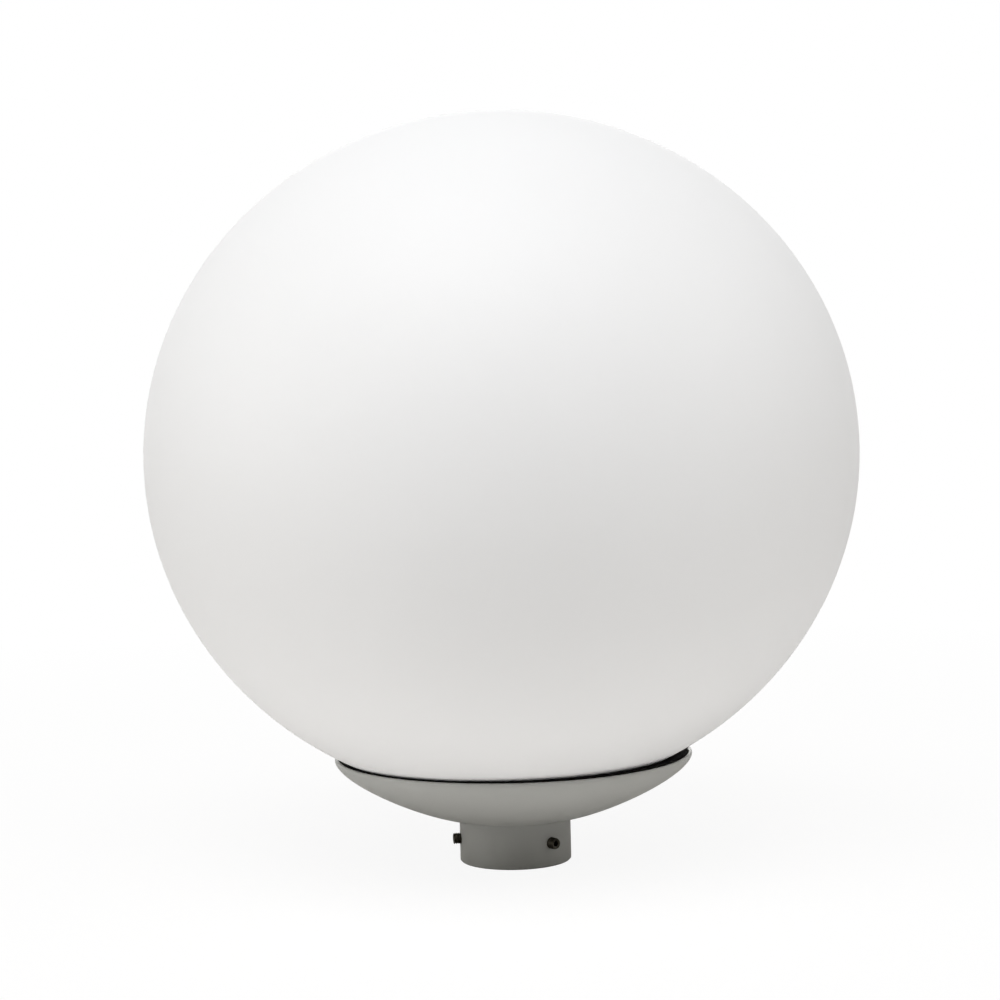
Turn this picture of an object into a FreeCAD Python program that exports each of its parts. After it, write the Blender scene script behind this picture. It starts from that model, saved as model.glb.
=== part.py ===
import FreeCAD, Part
import math
import os
from FreeCAD import Vector

# Post-top street light: an opal globe on a cast dish whose neck slips over a pole.
# Millimetres. The origin is the centre of the neck's open foot, +Z runs up the pole's axis,
# -Y is the side that is looked at, and +X is to its right.

# Casting: the neck that takes the pole, and the dish above it
neck_radius = 39.6
neck_height = 32.2
neck_fillet = 2.0
foot_chamfer = 0.8
pole_bore_radius = 31.5
pole_bore_depth = 54.0
pole_stop = 4.0
dish_radius = 127.0
dish_wall = 3.0
dish_floor_reach = 21.1  # the dish leaves the neck level and stays flat for about this long
dish_knuckle_reach = 3.6
dish_knuckle_drop = 13.9  # the bowl comes up to its lip steeply over this height
lip_band = 1.9
lip_wall = 2.8
lip_round = 1.0

# Globe
globe_radius = 250.0
globe_half_height = 240.0  # the globe is slightly flattened
globe_wall = 3.0
globe_floor_gap = 16.66  # from the dish's flat floor up to where the globe would be lowest
globe_seat_rise = 4.2  # from the dish's lip up to the globe where it is centred
globe_shift = 4.5  # the globe sits this far off the pole's axis, in the play of its throat
globe_shift_angle = 222.0  # to the left and forwards
throat_wall = 3.0
throat_play = 1.7
bead_reach = 3.0
bead_height = 2.5
bead_play = 1.0
throat_seal_height = 1.5

# Gasket between the lip and the globe
gasket_width = 11.0
gasket_stand = 0.6  # the gasket shows this much above the lip
soft_gap = 0.3

# The clamp screws, the globe screws and the gallery's screws each stand in an even ring
screws_in_ring = 3

# Gallery: the ring that carries the globe's throat
gallery_floor = 2.5
gallery_wall = 3.0
gallery_neck_gap = 1.6
gallery_dish_gap = 0.8
gallery_globe_gap = 1.0
gallery_boss_radius = 4.3
gallery_boss_height = 7.5
gallery_screw_radius = 2.0
gallery_screw_length = 15.0
gallery_screw_key = 2.0
gallery_screw_lift = 0.4  # from the bead up to the screws that hold it down

# Screws that draw the gallery down on the dish, from underneath
globe_screw_radius = 2.5
globe_screw_length = 14.0
globe_screw_head_radius = 4.5
globe_screw_head_height = 4.0
globe_screw_key = 4.0
counterbore_gap = 1.0
counterbore_land = 0.9
pad_radius = 7.0
pad_web_thickness = 5.0  # metal left between the counterbore and the pad's top

# Screws that clamp the pole
clamp_screw_radius = 4.0
clamp_screw_length = 12.9
clamp_screw_height = 16.8
clamp_screw_key = 4.0
clamp_screw_key_depth = 4.5
clamp_tip_gap = 0.2  # the tips stop this far outside the bore
clamp_screw_angle = -50.7
screw_gap = 0.15
chamfer = 0.5

# Gear plate on top of the pole socket
plate_thickness = 1.5
plate_margin = 1.1
plate_screw_edge_gap = 4.5
plate_screw_angle = 45.0
m4_radius = 2.0
m4_head_radius = 3.6
m4_head_height = 2.6
m4_key = 2.5
m4_length = 7.0

# Cable gland in the socket's stop
gland_thread_radius = 10.0
gland_flange = 22.0
gland_flange_height = 5.0
gland_nut_radius = 11.0
gland_nut_height = 10.0
gland_nut_top_radius = 8.0
gland_body_bore = 8.2
gland_seal_bore = 5.0
gland_throat_height = 6.0
gland_rib_depth = 0.6
gland_ribs = 12

# Bridge bracket that lifts the lampholder over the gland
bracket_width = 20.0
bracket_length = 44.0
bracket_height = 26.0
bracket_foot = 11.0
bracket_sheet = 1.5
bracket_bend = 2.5

# Lampholder for a 27 mm screw cap
holder_base_radius = 21.0
holder_base_height = 12.0
holder_radius = 18.5
holder_height = 45.0
holder_floor = 14.0
holder_round = 2.0
shell_radius = 13.4
shell_wall = 0.5
shell_height = 24.0
contact_width = 6.0
contact_length = 18.0
contact_sheet = 0.6
contact_rise = 2.5
contact_bend_share = 1 / 3
holder_screw_spread = 11.0
m3_radius = 1.5
m3_head_radius = 2.8
m3_head_height = 1.8
m3_key = 2.0

# Lamp
cap_radius = 13.05
cap_height = 24.0
cap_wall = 0.4
cap_flare = 0.9
insulator_height = 3.6
insulator_top_radius = 11.0
button_radius = 4.6
button_height = 1.6
bulb_radius = 30.0
bulb_neck_radius = 13.6
bulb_shoulder = 48.0  # from the cap up to the widest place
bulb_wall = 1.0
bulb_sink = 1.5
bulb_pull_share = 0.36  # how far the neck's curve holds its direction at each end

# Terminal block
block_width = 13.5
block_height = 14.0
block_pitch = 9.0
block_poles = 3
block_gland_gap = 2.5
block_round = 1.0
wire_hole_radius = 2.0
wire_hole_rise = 5.5
sleeve_wall = 0.8
sleeve_length = 11.0
terminal_screw_radius = 1.5
terminal_screw_spread = 3.4
terminal_screw_sink = 1.0

# Wires
lead_radius = 1.1
lead_reach = 11.0  # how far the leads stand out from the block before they rise
lead_entry_rise = 7.5
lead_entry_spread = 6.0
lead_sink = 4.5
washer_radius = 4.6
washer_thickness = 1.0
turn_share = 0.45  # how much of a run each of a wire's bends takes
earth_reach_share = 0.8
earth_turn_share = 0.45
earth_drop_share = 0.35

# One overrun for every cut
overrun = 5.0

# Places that follow from the sizes above
up = Vector(0, 0, 1)
ring_step_angle = 360 / screws_in_ring
lip_radius = dish_radius - lip_wall
globe_height = neck_height + globe_floor_gap + globe_half_height
globe_dip = globe_half_height * math.sqrt(1 - (lip_radius / globe_radius) ** 2)
lip_height = globe_height - globe_dip - globe_seat_rise
rim_height = lip_height - lip_band
counterbore_radius = globe_screw_head_radius + counterbore_gap
globe_screw_circle = neck_radius + counterbore_land + counterbore_radius
globe_screw_angle = clamp_screw_angle + ring_step_angle / 2
throat_radius = globe_screw_circle + gallery_boss_radius + throat_play + globe_shift + throat_wall
bead_radius = throat_radius + bead_reach
gallery_bore = bead_radius + globe_shift + bead_play
gallery_radius = gallery_bore + gallery_wall
socket_top = pole_bore_depth + pole_stop
plate_top = socket_top + plate_thickness
plate_radius = neck_radius - plate_margin
plate_screw_circle = plate_radius - plate_screw_edge_gap
bracket_top = plate_top + bracket_height
holder_top = bracket_top + holder_height
holder_seat = bracket_top + holder_floor
button_foot = holder_seat + contact_sheet + contact_rise + soft_gap
insulator_foot = button_foot + button_height
cap_foot = insulator_foot + insulator_height
cap_top = cap_foot + cap_height
block_left = gland_nut_radius + block_gland_gap
block_right = block_left + block_width
block_length = block_pitch * block_poles
wire_height = plate_top + wire_hole_rise


def point(radius, height):
    """A point of a turned outline."""
    return Vector(radius, 0, height)


def polar(radius, degrees, height=0.0):
    """A point at a bearing about the pole's axis."""
    angle = math.radians(degrees)
    return Vector(radius * math.cos(angle), radius * math.sin(angle), height)


def line(start, end):
    """A straight edge."""
    return Part.LineSegment(start, end).toShape()


def arc(start, end, centre):
    """The shorter arc from start to end about a centre."""
    middle = (start - centre) + (end - centre)
    middle.normalize()
    return Part.Arc(start, centre + middle * (start - centre).Length, end).toShape()


def curve(poles):
    """A smooth edge drawn by its poles."""
    bezier = Part.BezierCurve()
    bezier.setPoles(poles)
    return bezier.toShape()


def turned(edges):
    """The solid that a closed outline of edges sweeps about the pole's axis."""
    return Part.Face(Part.Wire(edges)).revolve(Vector(0, 0, 0), up, 360)


def turned_outline(points):
    """The solid that a closed outline of straight sides sweeps about the pole's axis."""
    closed = points + points[:1]
    return turned([line(a, b) for a, b in zip(closed, closed[1:])])


def rod(radius, low, high, place=Vector(0, 0, 0)):
    """An upright cylinder between two heights."""
    return Part.makeCylinder(radius, high - low, Vector(place.x, place.y, low), up)


def tube(outer, inner, low, high):
    """An upright tube about the pole's axis."""
    return rod(outer, low, high).cut(rod(inner, low - overrun, high + overrun))


def block(low, high):
    """A box between two corners."""
    return Part.makeBox(high.x - low.x, high.y - low.y, high.z - low.z, low)


def fused(shapes):
    """Shapes that are one piece of material."""
    whole = shapes[0]
    for shape in shapes[1:]:
        whole = whole.fuse(shape)
    return whole.removeSplitter()


def cut_all(shape, tools):
    """A shape with every tool taken out of it."""
    for tool in tools:
        shape = shape.cut(tool)
    return shape


def hexagon(flats, low, high):
    """An upright hexagonal prism about the pole's axis."""
    corner = flats / math.sqrt(3)
    corners = [polar(corner, 60 * side, low) for side in range(7)]
    return Part.Face(Part.makePolygon(corners)).extrude(Vector(0, 0, high - low))


def stood(shape, place, direction):
    """A shape made along +Z at the origin, turned to a direction and moved to its place."""
    placed = shape.copy()
    placed.Placement = FreeCAD.Placement(place, FreeCAD.Rotation(up, direction))
    return placed


def headed_screw(radius, length, head_radius, head_height, key):
    """A cap screw along +Z: its shank ends at -length and its head stands on the origin."""
    body = turned_outline([
        point(0, -length),
        point(radius - chamfer, -length),
        point(radius, chamfer - length),
        point(radius, 0),
        point(head_radius, 0),
        point(head_radius, head_height - chamfer),
        point(head_radius - chamfer, head_height),
        point(0, head_height),
    ])
    return body.cut(hexagon(key, head_height / 2, head_height + overrun))


def grub_screw(radius, length, key, key_depth):
    """A headless screw along +Z, with its tip at the origin and its socket at the far end."""
    body = turned_outline([
        point(0, 0),
        point(radius - 2 * chamfer, 0),
        point(radius, 2 * chamfer),
        point(radius, length - chamfer),
        point(radius - chamfer, length),
        point(0, length),
    ])
    return body.cut(hexagon(key, length - key_depth, length + overrun))


def bowl_poles(inset, end_radius):
    """The poles of the bowl's curve, from the neck to the rim, set in by a wall."""
    start = point(neck_radius + neck_fillet, neck_height + inset)
    level = point(start.x + dish_floor_reach, start.z)
    knuckle = point(dish_radius - dish_knuckle_reach, rim_height - dish_knuckle_drop)
    run = (knuckle - level).normalize()
    knuckle = knuckle + Vector(-run.z, 0, run.x) * inset
    return [start, level, knuckle, point(end_radius, rim_height)]


def bowl_height(radius, inset):
    """How high the bowl's curve is at a radius."""
    bezier = Part.BezierCurve()
    bezier.setPoles(bowl_poles(inset, lip_radius))
    low, high = 0.0, 1.0
    for _ in range(40):
        middle = (low + high) / 2
        if bezier.value(middle).x < radius:
            low = middle
        else:
            high = middle
    return bezier.value(low).z


def globe_surface(radius):
    """How high the globe's underside is at a distance from its own axis."""
    return globe_height - globe_half_height * math.sqrt(1 - (radius / globe_radius) ** 2)


# Heights of the gallery's pieces, from the dish's floor up to the globe
pad_top = bowl_height(gallery_radius, dish_wall) + gallery_dish_gap
gallery_deck = pad_top + gallery_floor
bead_foot = gallery_deck + throat_seal_height
gallery_screw_height = bead_foot + bead_height + gallery_screw_lift + gallery_screw_radius
gallery_top = globe_surface(gallery_radius - globe_shift) - gallery_globe_gap
counterbore_top = pad_top - pad_web_thickness


def bowl_inside(inset, top):
    """The space inside the dish, set in by a wall, up to a height."""
    end_radius = dish_radius - lip_wall - (inset - dish_wall)
    poles = bowl_poles(inset, end_radius)
    edges = [
        line(point(0, poles[0].z), poles[0]),
        curve(poles),
        line(poles[-1], point(end_radius, top)),
        line(point(end_radius, top), point(0, top)),
        line(point(0, top), point(0, poles[0].z)),
    ]
    return turned(edges)


def casting_outline():
    """The casting's section: neck, underside, lip, inside of the dish and pole socket."""
    outer = bowl_poles(0, dish_radius)
    inner = bowl_poles(dish_wall, lip_radius)
    foot = [point(pole_bore_radius, 0), point(neck_radius - foot_chamfer, 0)]
    foot.append(point(neck_radius, foot_chamfer))
    neck_end = point(neck_radius, neck_height - neck_fillet)
    rim_end = point(dish_radius, lip_height - lip_round)
    lip_out = point(dish_radius - lip_round, lip_height)
    lip_in = point(lip_radius + lip_round, lip_height)
    lip_foot = point(lip_radius, lip_height - lip_round)
    fillet_top = point(neck_radius, inner[0].z + neck_fillet)
    socket = [
        point(neck_radius, socket_top),
        point(gland_thread_radius + screw_gap, socket_top),
        point(gland_thread_radius + screw_gap, pole_bore_depth),
        point(pole_bore_radius, pole_bore_depth),
        foot[0],
    ]
    edges = [line(foot[0], foot[1]), line(foot[1], foot[2]), line(foot[2], neck_end)]
    edges.append(arc(neck_end, outer[0], point(outer[0].x, neck_end.z)))
    edges.append(curve(outer))
    edges.append(line(outer[-1], rim_end))
    edges.append(arc(rim_end, lip_out, point(lip_out.x, rim_end.z)))
    edges.append(line(lip_out, lip_in))
    edges.append(arc(lip_in, lip_foot, point(lip_in.x, lip_foot.z)))
    edges.append(line(lip_foot, inner[-1]))
    edges.append(curve(inner[::-1]))
    edges.append(arc(inner[0], fillet_top, point(inner[0].x, fillet_top.z)))
    edges.append(line(fillet_top, socket[0]))
    edges += [line(a, b) for a, b in zip(socket, socket[1:])]
    return edges


def ring(start):
    """Bearings of an even ring of screws, from its first one."""
    return [start + ring_step_angle * step for step in range(screws_in_ring)]


def base_casting():
    """Neck, dish and pole socket in one casting, with pads for the gallery and every screw hole."""
    body = turned(casting_outline())
    inside = bowl_inside(dish_wall / 2, lip_height)
    pads = []
    holes = []
    for bearing in ring(globe_screw_angle):
        place = polar(globe_screw_circle, bearing)
        pads.append(rod(pad_radius, neck_height, pad_top, place).common(inside))
        holes.append(rod(counterbore_radius, 0, counterbore_top, place))
        holes.append(rod(globe_screw_radius + screw_gap, 0, pad_top + overrun, place))
    bore = rod(pole_bore_radius, 0, pole_bore_depth)
    body = cut_all(fused([body] + pads), holes)
    for bearing in ring(clamp_screw_angle):
        hole = Part.makeCylinder(clamp_screw_radius + screw_gap, neck_radius + overrun)
        body = body.cut(stood(hole, Vector(0, 0, clamp_screw_height), polar(1, bearing)))
    for place in plate_hole_places():
        hole = rod(m4_radius + screw_gap, socket_top - m4_length, socket_top + overrun, place)
        body = body.cut(hole.cut(bore))
    return body


def plate_hole_places():
    """Where screws pass through the gear plate into the casting."""
    corners = [polar(plate_screw_circle, plate_screw_angle + 90 * corner) for corner in range(4)]
    return corners + bracket_screw_places()


def bracket_screw_places():
    """Where the bracket's feet are screwed down."""
    reach = bracket_length / 2 + bracket_foot / 2
    return [Vector(0, side * reach, 0) for side in (-1, 1)]


def clamp_screw(bearing):
    """A socket grub screw through the neck's wall, its tip just outside the bore."""
    screw = grub_screw(clamp_screw_radius, clamp_screw_length, clamp_screw_key, clamp_screw_key_depth)
    place = polar(pole_bore_radius + clamp_tip_gap, bearing, clamp_screw_height)
    return stood(screw, place, polar(1, bearing))


def globe_curve(inset, edge_radius):
    """The globe's section from its throat up to its crown, and its lower end."""
    radius = globe_radius - inset
    low = point(edge_radius, -math.sqrt(radius ** 2 - edge_radius ** 2))
    edge = Part.Arc(low, point(radius, 0), point(0, radius)).toShape()
    squash = FreeCAD.Matrix()
    squash.A33 = (globe_half_height - inset) / radius
    squash.A34 = globe_height
    edge = edge.transformGeometry(squash)
    return edge, point(edge_radius, globe_height + low.z * squash.A33)


def globe():
    """The whole globe: a flattened ball with a short throat that ends in a bead."""
    outer, outer_foot = globe_curve(0, throat_radius)
    inner, inner_foot = globe_curve(globe_wall, throat_radius - throat_wall)
    crown = point(0, globe_height + globe_half_height)
    round_radius = bead_height / 2
    bead_centre = point(bead_radius - round_radius, bead_foot + round_radius)
    bead_top = point(bead_centre.x, bead_foot + bead_height)
    bead_tip = point(bead_radius, bead_centre.z)
    bead_low = point(bead_centre.x, bead_foot)
    edges = [
        outer,
        line(outer_foot, point(throat_radius, bead_top.z)),
        line(point(throat_radius, bead_top.z), bead_top),
        Part.Arc(bead_top, bead_tip, bead_low).toShape(),
        line(bead_low, point(inner_foot.x, bead_foot)),
        line(point(inner_foot.x, bead_foot), inner_foot),
        inner,
        line(point(0, crown.z - globe_wall), crown),
    ]
    shape = turned(Part.sortEdges(edges)[0])
    shape.translate(polar(globe_shift, globe_shift_angle))
    return shape


def below_weld():
    """The space under the weld that runs round the globe's widest place."""
    return rod(globe_radius + globe_shift + overrun, 0, globe_height)


def globe_lower():
    """The globe's lower shell, with its throat."""
    return globe().common(below_weld())


def globe_upper():
    """The globe's upper shell, welded on the lower one."""
    return globe().cut(below_weld())


def globe_gasket():
    """A rubber ring that fills the corner between the dish's lip and the globe."""
    top = lip_height + gasket_stand
    blank = tube(dish_radius, lip_radius - gasket_width, neck_height, top)
    outer, foot = globe_curve(-soft_gap, 0)
    ball = turned([outer, line(foot, point(0, globe_height + globe_half_height + soft_gap))])
    ball.translate(polar(globe_shift, globe_shift_angle))
    return blank.common(bowl_inside(dish_wall + soft_gap, top + overrun)).cut(ball)


def globe_gallery():
    """The ring that holds the globe's throat, with three threaded bosses inside it."""
    floor = tube(gallery_radius, neck_radius + gallery_neck_gap, pad_top, gallery_deck)
    wall = tube(gallery_radius, gallery_bore, pad_top, gallery_top)
    bosses = []
    for bearing in ring(globe_screw_angle):
        place = polar(globe_screw_circle, bearing)
        bosses.append(rod(gallery_boss_radius, pad_top, gallery_deck + gallery_boss_height, place))
    gallery = fused([floor, wall] + bosses)
    for bearing in ring(globe_screw_angle):
        place = polar(globe_screw_circle, bearing)
        gallery = gallery.cut(rod(globe_screw_radius + screw_gap, 0, gallery_top + overrun, place))
    for bearing in ring(clamp_screw_angle):
        hole = Part.makeCylinder(gallery_screw_radius + screw_gap, gallery_radius + overrun)
        keep = rod(bead_radius, 0, gallery_top + overrun)
        tool = stood(hole, Vector(0, 0, gallery_screw_height), polar(1, bearing))
        gallery = gallery.cut(tool.cut(keep))
    return gallery


def throat_distance(bearing):
    """How far the shifted throat's outside is from the pole's axis at a bearing."""
    angle = math.radians(bearing - globe_shift_angle)
    across = globe_shift * math.sin(angle)
    return math.sqrt(throat_radius ** 2 - across ** 2) + globe_shift * math.cos(angle)


def gallery_screws():
    """Three grub screws above the bead, each turned in until it meets the throat."""
    screws = []
    for bearing in ring(clamp_screw_angle):
        screw = grub_screw(gallery_screw_radius, gallery_screw_length, gallery_screw_key, gallery_screw_key)
        place = polar(throat_distance(bearing) + soft_gap, bearing, gallery_screw_height)
        screws.append(stood(screw, place, polar(1, bearing)))
    return Part.makeCompound(screws)


def throat_seal():
    """A flat rubber washer under the bead."""
    washer = tube(bead_radius, throat_radius - throat_wall, gallery_deck, bead_foot)
    washer.translate(polar(globe_shift, globe_shift_angle))
    return washer


def globe_screw(bearing):
    """A screw that comes up through the dish and draws the gallery down."""
    head = globe_screw_head_radius, globe_screw_head_height, globe_screw_key
    screw = headed_screw(globe_screw_radius, globe_screw_length, *head)
    return stood(screw, polar(globe_screw_circle, bearing, counterbore_top), Vector(0, 0, -1))


def gear_plate():
    """The round steel plate that carries the electrical parts."""
    plate = tube(plate_radius, gland_thread_radius + screw_gap, socket_top, plate_top)
    holes = [rod(m4_radius + screw_gap, 0, plate_top + overrun, place) for place in plate_hole_places()]
    holes += [rod(m3_radius + screw_gap, 0, plate_top + overrun, place) for place in block_screw_places()]
    return cut_all(plate, holes)


def m4_screw(place, seat):
    """An M4 cap screw with its head on a seat."""
    screw = headed_screw(m4_radius, m4_length, m4_head_radius, m4_head_height, m4_key)
    return stood(screw, Vector(place.x, place.y, seat), up)


def gear_plate_screws():
    """Three screws that hold the gear plate. The fourth corner has the earth screw."""
    places = [polar(plate_screw_circle, plate_screw_angle + 90 * corner) for corner in range(3)]
    return Part.makeCompound([m4_screw(place, plate_top) for place in places])


def bracket_screws():
    """Two screws through the bracket's feet."""
    return Part.makeCompound([m4_screw(place, plate_top + bracket_sheet) for place in bracket_screw_places()])


def cable_gland_body():
    """The gland's threaded shank and its hexagonal flange, hollow for the cable."""
    flange_top = plate_top + gland_flange_height
    shank = rod(gland_thread_radius, pole_bore_depth, plate_top)
    flange = hexagon(gland_flange, plate_top, flange_top)
    return fused([shank, flange]).cut(rod(gland_body_bore, 0, flange_top + overrun))


def cable_gland_seal():
    """The rubber sleeve that grips the cable, held between the gland's body and its nut."""
    low = plate_top + soft_gap
    high = plate_top + gland_flange_height + gland_throat_height
    return tube(gland_body_bore - soft_gap, gland_seal_bore, low, high)


def cable_gland_nut():
    """The gland's domed nut, ribbed for the fingers."""
    low = plate_top + gland_flange_height
    high = low + gland_nut_height
    shoulder = low + gland_throat_height
    nut = turned_outline([
        point(gland_body_bore, low),
        point(gland_nut_radius, low),
        point(gland_nut_radius, shoulder),
        point(gland_nut_top_radius, high),
        point(gland_seal_bore, high),
        point(gland_seal_bore, shoulder + soft_gap),
        point(gland_body_bore, shoulder + soft_gap),
    ])
    for rib in range(gland_ribs):
        place = polar(gland_nut_radius, rib * 360 / gland_ribs)
        nut = nut.cut(rod(gland_rib_depth, low - overrun, high + overrun, place))
    return nut


def lampholder_bracket():
    """A bent strip: two feet, two legs and the bridge that the lampholder stands on."""
    half = bracket_length / 2
    side = bracket_width / 2
    outer = block(Vector(-side, -half, plate_top), Vector(side, half, bracket_top))
    across = [edge for edge in outer.Edges if edge.BoundBox.YLength < bracket_sheet]
    upper = [edge for edge in across if edge.BoundBox.ZMin > bracket_top - bracket_sheet]
    outer = outer.makeFillet(bracket_bend, upper)
    inner = block(
        Vector(-side - overrun, bracket_sheet - half, plate_top - overrun),
        Vector(side + overrun, half - bracket_sheet, bracket_top - bracket_sheet),
    )
    feet = []
    for sign in (-1, 1):
        ends = sorted((sign * (half - bracket_sheet), sign * (half + bracket_foot)))
        low = Vector(-side, ends[0], plate_top)
        feet.append(block(low, Vector(side, ends[1], plate_top + bracket_sheet)))
    strip = fused([outer.cut(inner)] + feet)
    middle = plate_top + bracket_height / 2
    holes = [rod(m4_radius + screw_gap, 0, middle, place) for place in bracket_screw_places()]
    holes += [rod(m3_radius + screw_gap, middle, holder_top, place) for place in holder_screw_places()]
    return cut_all(strip, holes)


def holder_screw_places():
    """Where the lampholder is screwed to its bracket."""
    return [Vector(0, side * holder_screw_spread, 0) for side in (-1, 1)]


def lampholder_body():
    """The porcelain body: a wide base with wire holes, and a deep round well for the cap."""
    well = shell_radius + shell_wall + screw_gap
    step = bracket_top + holder_base_height
    top_round = point(holder_radius - holder_round, holder_top - holder_round)
    side = [point(0, bracket_top), point(holder_base_radius, bracket_top), point(holder_base_radius, step)]
    side += [point(holder_radius, step), point(holder_radius, top_round.z)]
    inside = [point(top_round.x, holder_top), point(well, holder_top), point(well, holder_seat)]
    inside += [point(0, holder_seat), side[0]]
    edges = [line(a, b) for a, b in zip(side, side[1:])]
    edges.append(arc(side[-1], inside[0], top_round))
    edges += [line(a, b) for a, b in zip(inside, inside[1:])]
    body = turned(edges)
    for side in (-1, 1):
        hole = Part.makeCylinder(wire_hole_radius, holder_base_radius)
        foot = holder_base_radius - 2 * lead_sink
        place = Vector(foot, side * lead_entry_spread, bracket_top + lead_entry_rise)
        body = body.cut(stood(hole, place, Vector(1, 0, 0)))
    sunk = holder_seat - m3_head_height
    places = holder_screw_places()
    screws = [rod(m3_radius + screw_gap, 0, holder_seat + overrun, place) for place in places]
    heads = [rod(m3_head_radius + screw_gap, sunk, holder_top, place) for place in places]
    return cut_all(body, screws + [head.common(rod(well, 0, holder_top)) for head in heads])


def lampholder_screws():
    """Two screws from the well's floor down into the bracket."""
    length = holder_floor + bracket_sheet - m3_head_height
    screw = headed_screw(m3_radius, length, m3_head_radius, m3_head_height, m3_key)
    seat = holder_seat - m3_head_height
    places = [place + Vector(0, 0, seat) for place in holder_screw_places()]
    return Part.makeCompound([stood(screw, place, up) for place in places])


def lampholder_shell():
    """The nickel-plated screw shell that lines the well."""
    top = holder_top - holder_round
    return tube(shell_radius + shell_wall, shell_radius, top - shell_height, top)


def lampholder_contact():
    """The sprung centre contact: a strip that rises from the well's floor."""
    half = contact_width / 2
    end = contact_length / 2
    height = holder_seat
    bend = end * contact_bend_share
    raised = height + contact_rise
    spring = [
        Vector(-end, 0, height),
        Vector(-bend, 0, height),
        Vector(0, 0, raised),
        Vector(bend, 0, raised),
        Vector(bend, 0, raised + contact_sheet),
        Vector(-contact_sheet / 2, 0, raised + contact_sheet),
        Vector(-bend - contact_sheet / 2, 0, height + contact_sheet),
        Vector(-end, 0, height + contact_sheet),
    ]
    side = Part.Face(Part.makePolygon(spring + spring[:1]))
    strip = side.extrude(Vector(0, contact_width, 0))
    strip.translate(Vector(0, -half, 0))
    return strip


def lamp_contact():
    """The solder button under the cap."""
    return rod(button_radius, button_foot, insulator_foot)


def lamp_insulator():
    """The glass insulator between the button and the cap."""
    return turned_outline([
        point(0, insulator_foot),
        point(button_radius + chamfer, insulator_foot),
        point(insulator_top_radius, cap_foot),
        point(0, cap_foot),
    ])


def lamp_cap():
    """The screw cap: a thin brass sleeve, flared where the bulb is set in."""
    sleeve = turned_outline([
        point(insulator_top_radius - cap_flare, cap_foot),
        point(insulator_top_radius, cap_foot),
        point(cap_radius, cap_foot + 2 * cap_flare),
        point(cap_radius, cap_top - 2 * cap_flare),
        point(bulb_neck_radius + cap_wall + soft_gap, cap_top),
        point(bulb_neck_radius + soft_gap / 3, cap_top),
        point(bulb_neck_radius + soft_gap / 3, cap_top - bulb_sink),
        point(cap_radius - cap_wall, cap_top - 2 * cap_flare),
        point(cap_radius - cap_wall, cap_foot + 2 * cap_flare),
    ])
    return sleeve


def bulb_outline(inset):
    """The bulb's section from its neck up to its crown."""
    shoulder = cap_top + bulb_shoulder
    neck = point(bulb_neck_radius - inset, cap_top - bulb_sink)
    wide = point(bulb_radius - inset, shoulder)
    pull = (shoulder - neck.z) * bulb_pull_share
    flank = curve([neck, neck + up * pull, wide - up * pull, wide])
    crown = point(0, shoulder + bulb_radius - inset)
    return neck, [flank, arc(wide, crown, point(0, shoulder))], crown


def lamp_bulb():
    """The blown glass bulb, open at the neck where the cap closes it."""
    outer_neck, outer, outer_crown = bulb_outline(0)
    inner_neck, inner, inner_crown = bulb_outline(bulb_wall)
    edges = outer + inner + [line(outer_neck, inner_neck), line(inner_crown, outer_crown)]
    return turned(Part.sortEdges(edges)[0])


def pole_places():
    """The y of each pole of the terminal block, from the front."""
    return [(pole - (block_poles - 1) / 2) * block_pitch for pole in range(block_poles)]


def block_screw_places():
    """Where the terminal block is screwed down, between its poles."""
    middle = (block_left + block_right) / 2
    return [Vector(middle, side * block_pitch / 2, 0) for side in (-1, 1)]


def terminal_screw_places():
    """Two screws over each pole."""
    middle = (block_left + block_right) / 2
    spread = (-terminal_screw_spread, terminal_screw_spread)
    return [Vector(middle + across, along, 0) for along in pole_places() for across in spread]


def block_top():
    """The terminal block's upper face."""
    return plate_top + block_height


def terminal_block():
    """The moulded three-pole block, with a wire hole through each pole."""
    low = Vector(block_left, -block_length / 2, plate_top)
    body = block(low, Vector(block_right, block_length / 2, block_top()))
    upper = [edge for edge in body.Edges if edge.BoundBox.ZMin > block_top() - block_round]
    body = body.makeFillet(block_round, upper)
    tools = []
    hole = Part.makeCylinder(wire_hole_radius + sleeve_wall, block_width + 2 * overrun)
    for along in pole_places():
        tools.append(stood(hole, Vector(block_left - overrun, along, wire_height), Vector(1, 0, 0)))
    for place in terminal_screw_places():
        tools.append(rod(terminal_screw_radius + screw_gap, wire_height, block_top() + overrun, place))
    for place in block_screw_places():
        tools.append(rod(m3_radius + screw_gap, 0, block_top() + overrun, place))
    return cut_all(body, tools)


def terminal_sleeves():
    """The brass sleeve of each pole, where the screws pinch the wires."""
    sleeves = []
    start = (block_left + block_right - sleeve_length) / 2
    for along in pole_places():
        place = Vector(start, along, wire_height)
        outside = Part.makeCylinder(wire_hole_radius + sleeve_wall, sleeve_length)
        inside = Part.makeCylinder(wire_hole_radius, sleeve_length)
        sleeve = stood(outside.cut(inside), place, Vector(1, 0, 0))
        for screw in terminal_screw_places():
            if abs(screw.y - along) < block_pitch / 2:
                sleeve = sleeve.cut(rod(terminal_screw_radius + screw_gap, wire_height, block_top(), screw))
        sleeves.append(sleeve)
    return Part.makeCompound(sleeves)


def terminal_screws():
    """The six slotted screws that pinch the wires, just above them."""
    screws = []
    foot = wire_height + lead_radius + screw_gap
    top = block_top() - terminal_screw_sink
    slot = terminal_screw_radius / 2
    for place in terminal_screw_places():
        screw = rod(terminal_screw_radius, foot, top, place)
        reach = Vector(terminal_screw_radius, slot / 2, 0)
        middle = Vector(place.x, place.y, top)
        groove = block(middle - reach - Vector(0, 0, slot), middle + reach + Vector(0, 0, slot))
        screws.append(screw.cut(groove))
    return Part.makeCompound(screws)


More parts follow.
